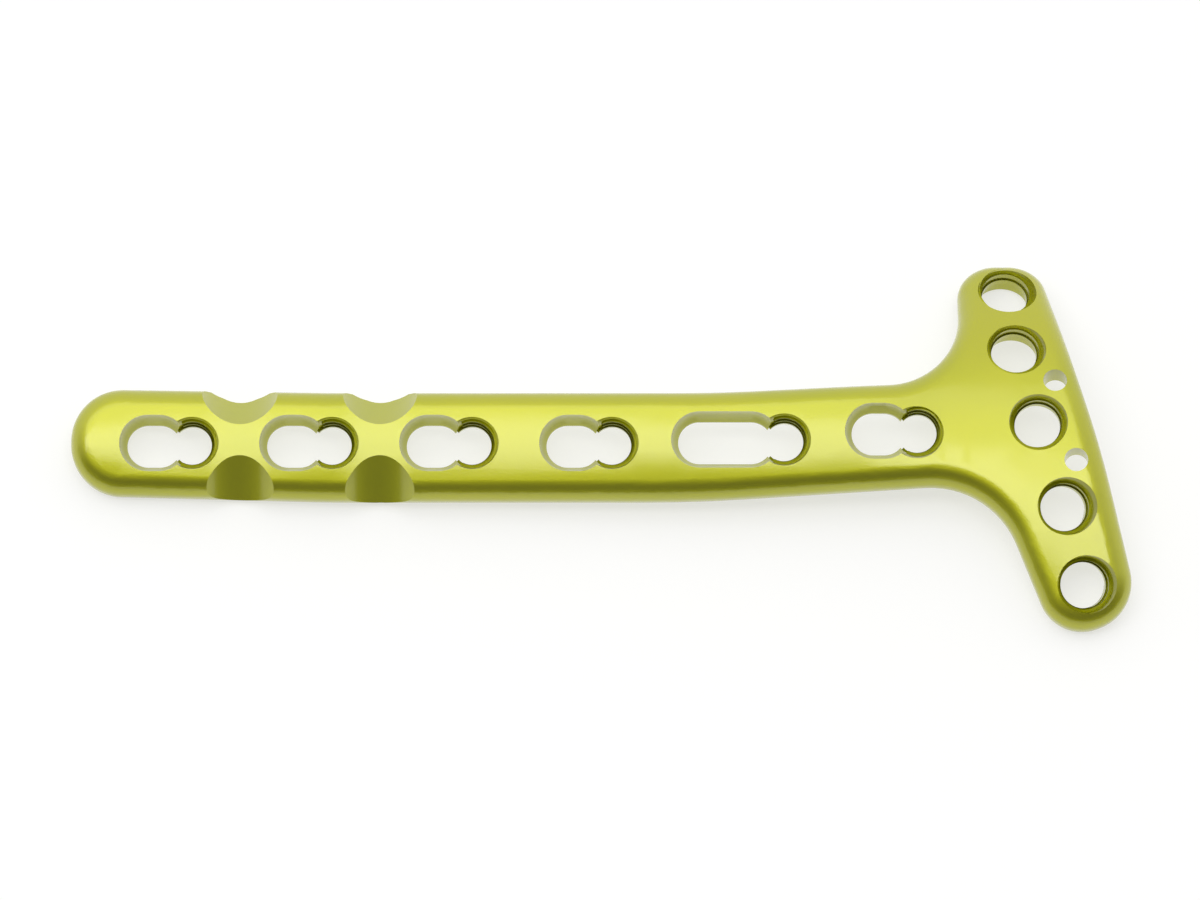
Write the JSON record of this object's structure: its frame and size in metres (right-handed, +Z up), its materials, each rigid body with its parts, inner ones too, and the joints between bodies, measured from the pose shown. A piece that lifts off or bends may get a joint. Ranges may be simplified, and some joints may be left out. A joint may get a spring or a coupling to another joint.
{
  "type": "bone plate",
  "caption": "T-shaped titanium bone plate: slim shaft with threaded combination holes, wrapped head with locking and wire holes.",
  "frame": {"origin": "middle of the footprint, on the surface that the plate lies on", "axes": "+X along the shaft from the tail to the head, +Z up out of the screw side, +Y towards the wrapped arm of the head"},
  "size_m": [0.0986, 0.0364, 0.0074],
  "materials": {
    "plate": "bead-blasted titanium, anodised yellow-green"
  },
  "bodies": {
    "root": {"bone_plate": "plate"}
  },
  "joints": []
}
